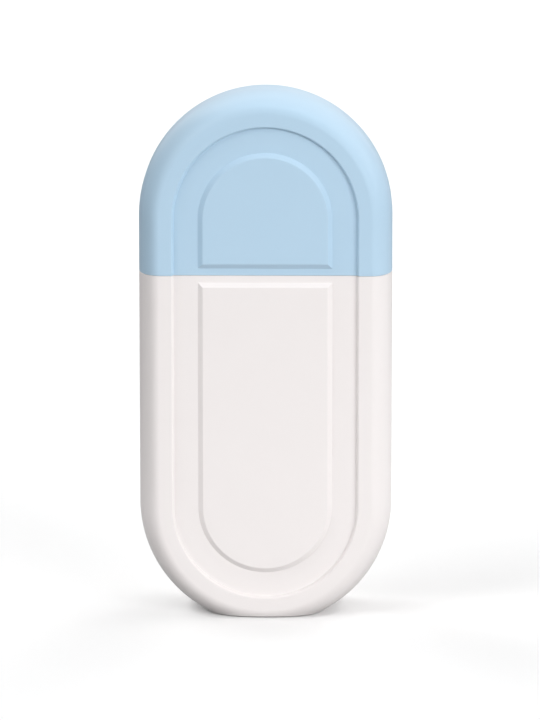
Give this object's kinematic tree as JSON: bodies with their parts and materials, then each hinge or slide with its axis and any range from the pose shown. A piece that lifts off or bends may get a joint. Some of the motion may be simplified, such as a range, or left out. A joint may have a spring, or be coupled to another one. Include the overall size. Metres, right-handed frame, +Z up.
{
  "type": "sunscreen bottle",
  "caption": "Flat stadium-shaped cosmetics bottle that stands upright, with a pull-off overcap over a press-down mist pump on a screw neck.",
  "frame": {"origin": "centre of the flat base, on the surface that the bottle stands on", "axes": "+Z up along the height, +X along the width, the front with its panel faces -Y"},
  "size_m": [0.064, 0.03, 0.1338],
  "materials": {
    "cap_blue": "satin moulded polypropylene, pale blue",
    "bottle_white": "satin moulded polyethylene, warm white",
    "pump_white": "moulded polypropylene, white",
    "natural_plastic": "natural translucent polypropylene or polyethylene",
    "seal_grey": "soft polyethylene foam seal",
    "spring_steel": "drawn stainless steel"
  },
  "bodies": {
    "bottle": {"bottle": "bottle_white", "shoulder_sleeve": "bottle_white"},
    "overcap": {"overcap": "cap_blue"},
    "pump": {"pump_housing": "natural_plastic", "gasket": "seal_grey", "turret": "pump_white", "dip_tube": "natural_plastic", "return_spring": "spring_steel"},
    "closure": {"closure": "pump_white"},
    "plunger": {"pump_stem": "natural_plastic", "piston": "natural_plastic", "valve_pin": "natural_plastic"},
    "actuator": {"actuator": "pump_white", "nozzle_insert": "natural_plastic"},
    "check_ball": {"inlet_ball": "spring_steel"}
  },
  "joints": [
    {"name": "overcap_lift", "type": "slide", "parent": "bottle", "child": "overcap", "axis": [0, 0, 1], "range_m": [0, 0.045]},
    {"name": "pump_lift", "type": "slide", "parent": "bottle", "child": "pump", "axis": [0, 0, 1], "range_m": [0, 0.00476]},
    {"name": "closure_turn", "type": "hinge", "parent": "pump", "child": "closure", "pos_m": [0, 0, 0.097], "axis": [0, 0, 1], "range_deg": [0, 540]},
    {"name": "pump_press", "type": "slide", "parent": "pump", "child": "plunger", "axis": [0, 0, -1], "range_m": [0, 0.0045], "stiffness_N_per_m": 600, "springref_m": -0.01, "deforming": ["return_spring"]},
    {"name": "actuator_turn", "type": "hinge", "parent": "plunger", "child": "actuator", "pos_m": [0, 0, 0.1175], "axis": [0, 0, 1], "continuous": true},
    {"name": "ball_lift", "type": "slide", "parent": "pump", "child": "check_ball", "axis": [0, 0, 1], "range_m": [0, 0.0015]}
  ],
  "couplings": [
    {"joint": "closure_turn", "follows": "pump_lift", "rad_per_m": 1978.9}
  ]
}
